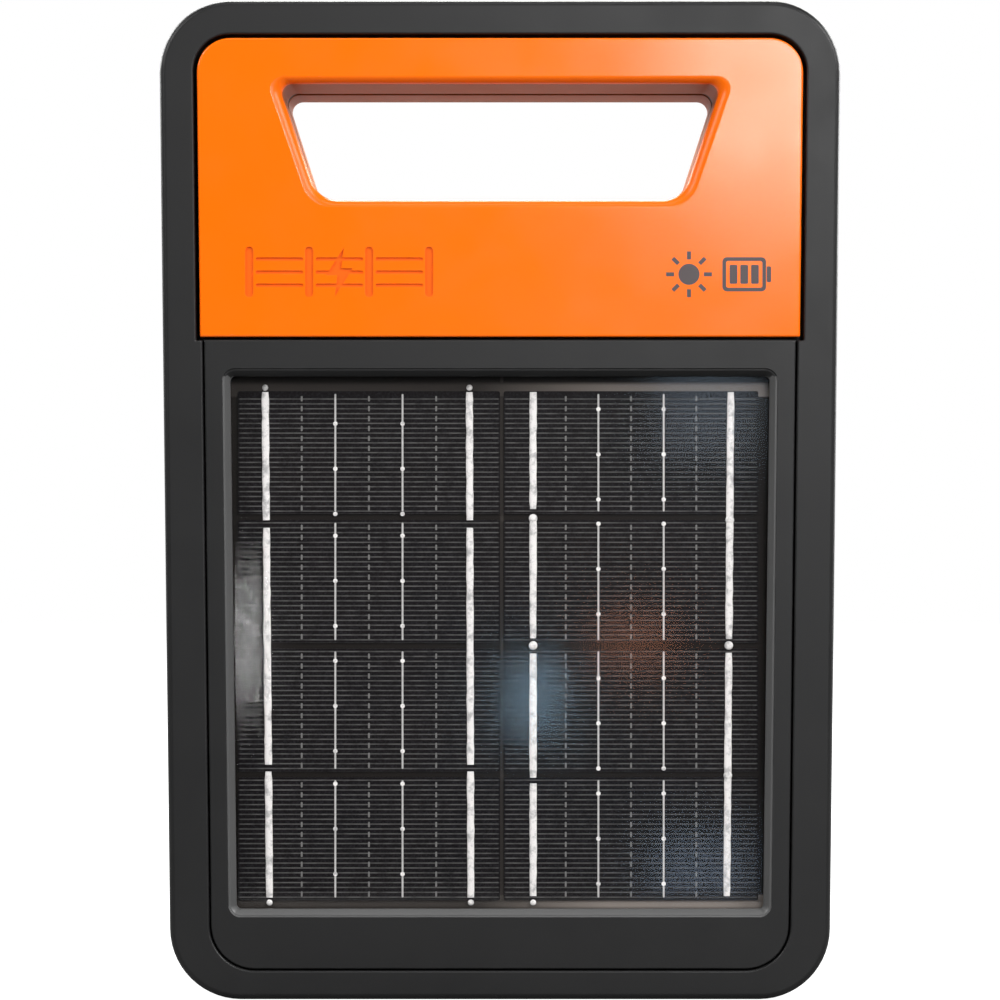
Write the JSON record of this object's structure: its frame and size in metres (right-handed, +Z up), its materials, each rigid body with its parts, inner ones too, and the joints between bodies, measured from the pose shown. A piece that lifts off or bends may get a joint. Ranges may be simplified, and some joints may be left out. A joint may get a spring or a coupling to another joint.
{
  "type": "fence energizer",
  "caption": "Portable solar fence energizer: dark case with an orange handle panel, a solar window, a power button and two screw terminals at the back.",
  "frame": {"origin": "middle of the base, at the middle of the whole box seen from above", "axes": "+X to the right seen from the front, +Y towards the back, +Z up; the solar panel faces -Y"},
  "size_m": [0.1876, 0.08, 0.275],
  "materials": {
    "charcoal_plastic": "fine moulded texture, satin",
    "orange_plastic": "semi-gloss moulded",
    "black_rubber": "matt",
    "clear_glass": "clear, smooth",
    "silicon_cell": "dark blue-black, satin",
    "tinned_copper": "soft metallic",
    "circuit_board": "satin solder resist",
    "stainless_steel": "bright",
    "red_plastic": "satin",
    "green_plastic": "satin",
    "black_plastic": "satin",
    "clear_plastic": "clear",
    "battery_sleeve": "shrink sleeve",
    "winding_tape": "polyester tape",
    "laminated_iron": "varnished laminations"
  },
  "bodies": {
    "root": {"rear_case": "charcoal_plastic", "front_housing": "charcoal_plastic", "solar_bezel": "charcoal_plastic", "handle_fascia": "orange_plastic", "case_gasket": "black_rubber", "tunnel_gasket": "black_rubber", "panel_seal": "black_rubber", "panel_glass": "clear_glass", "panel_backing": "circuit_board", "fence_stud": "stainless_steel", "fence_nut": "stainless_steel", "earth_stud": "stainless_steel", "earth_nut": "stainless_steel", "button_seal": "black_rubber", "power_switch": "black_plastic", "light_pipe": "clear_plastic", "status_led": "clear_plastic", "battery_cell_1": "battery_sleeve", "battery_cell_2": "battery_sleeve", "battery_cradle": "black_plastic", "battery_strap": "stainless_steel", "battery_lead": "red_plastic", "main_board": "circuit_board", "transformer_core": "laminated_iron", "transformer_winding": "winding_tape", "storage_capacitor": "battery_sleeve", "bulk_capacitor": "black_plastic", "inverter_coil": "laminated_iron", "thyristor": "black_plastic", "solar_lead": "black_plastic", "fence_lead": "red_plastic", "earth_lead": "green_plastic", "solar_cell_1": "silicon_cell", "solar_cell_2": "silicon_cell", "solar_cell_3": "silicon_cell", "solar_cell_4": "silicon_cell", "solar_cell_5": "silicon_cell", "solar_cell_6": "silicon_cell", "solar_cell_7": "silicon_cell", "solar_cell_8": "silicon_cell", "cell_ribbon_1": "tinned_copper", "cell_ribbon_2": "tinned_copper", "cell_ribbon_3": "tinned_copper", "cell_ribbon_4": "tinned_copper", "case_screw_1": "stainless_steel", "case_screw_2": "stainless_steel", "case_screw_3": "stainless_steel", "case_screw_4": "stainless_steel", "case_screw_5": "stainless_steel", "case_screw_6": "stainless_steel", "board_screw_1": "stainless_steel", "board_screw_2": "stainless_steel", "board_screw_3": "stainless_steel", "board_screw_4": "stainless_steel"},
    "fence_washer": {"fence_washer": "stainless_steel"},
    "fence_knob": {"fence_knob": "red_plastic"},
    "earth_washer": {"earth_washer": "stainless_steel"},
    "earth_knob": {"earth_knob": "green_plastic"},
    "power_button": {"power_button": "black_rubber", "switch_plunger": "black_plastic"}
  },
  "joints": [
    {"name": "power_button_press", "type": "slide", "parent": "root", "child": "power_button", "axis": [-1, 0, 0], "range_m": [0, 0.0012], "stiffness_N_per_m": 1200},
    {"name": "fence_clamp_travel", "type": "slide", "parent": "root", "child": "fence_washer", "axis": [0, 0, -1], "range_m": [0, 0.003]},
    {"name": "fence_knob_turn", "type": "hinge", "parent": "fence_washer", "child": "fence_knob", "pos_m": [-0.062, 0.024, 0.0401], "axis": [0, 0, -1], "range_deg": [0, 1080]},
    {"name": "earth_clamp_travel", "type": "slide", "parent": "root", "child": "earth_washer", "axis": [0, 0, -1], "range_m": [0, 0.003]},
    {"name": "earth_knob_turn", "type": "hinge", "parent": "earth_washer", "child": "earth_knob", "pos_m": [0.062, 0.024, 0.0401], "axis": [0, 0, -1], "range_deg": [0, 1080]}
  ],
  "couplings": [
    {"joint": "fence_knob_turn", "follows": "fence_clamp_travel", "rad_per_m": 6283.2},
    {"joint": "earth_knob_turn", "follows": "earth_clamp_travel", "rad_per_m": 6283.2}
  ]
}
